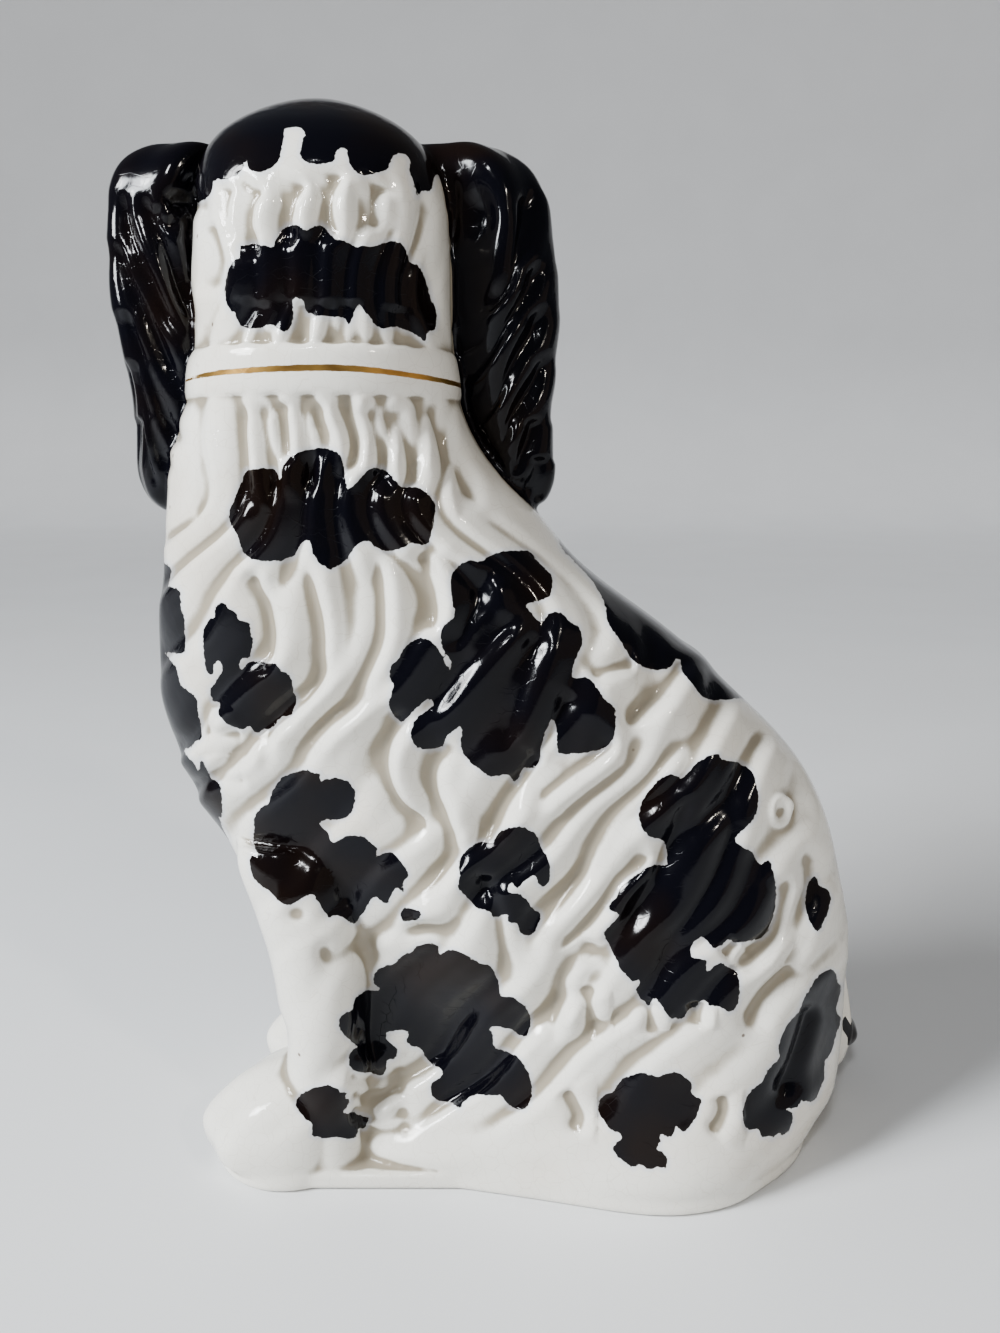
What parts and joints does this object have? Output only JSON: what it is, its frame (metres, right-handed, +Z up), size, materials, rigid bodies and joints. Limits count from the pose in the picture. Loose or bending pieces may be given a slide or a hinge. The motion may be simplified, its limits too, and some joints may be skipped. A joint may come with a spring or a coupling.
{
  "type": "staffordshire dog figure",
  "caption": "Seated spaniel mantel ornament in press-moulded glazed earthenware, white with black patches, its head turned to one side.",
  "frame": {"origin": "middle of the bounding box's underside, on the surface that the foot ring stands on", "axes": "+Z up; +X from the chest to the rump; +Y the way the face looks, with the plain back of the figure on the -Y side"},
  "size_m": [0.237, 0.1132, 0.32],
  "materials": {
    "earthenware": "gloss",
    "black_enamel": "gloss",
    "gilding": "gloss",
    "biscuit": "matte"
  },
  "bodies": {
    "root": {"back_shell": "earthenware", "front_shell": "earthenware", "base_slab": "earthenware", "left_ear": "black_enamel", "right_ear": "black_enamel", "near_foreleg": "earthenware", "far_foreleg": "earthenware", "tail": "earthenware", "padlock": "gilding", "seam_roll": "biscuit"}
  },
  "joints": []
}
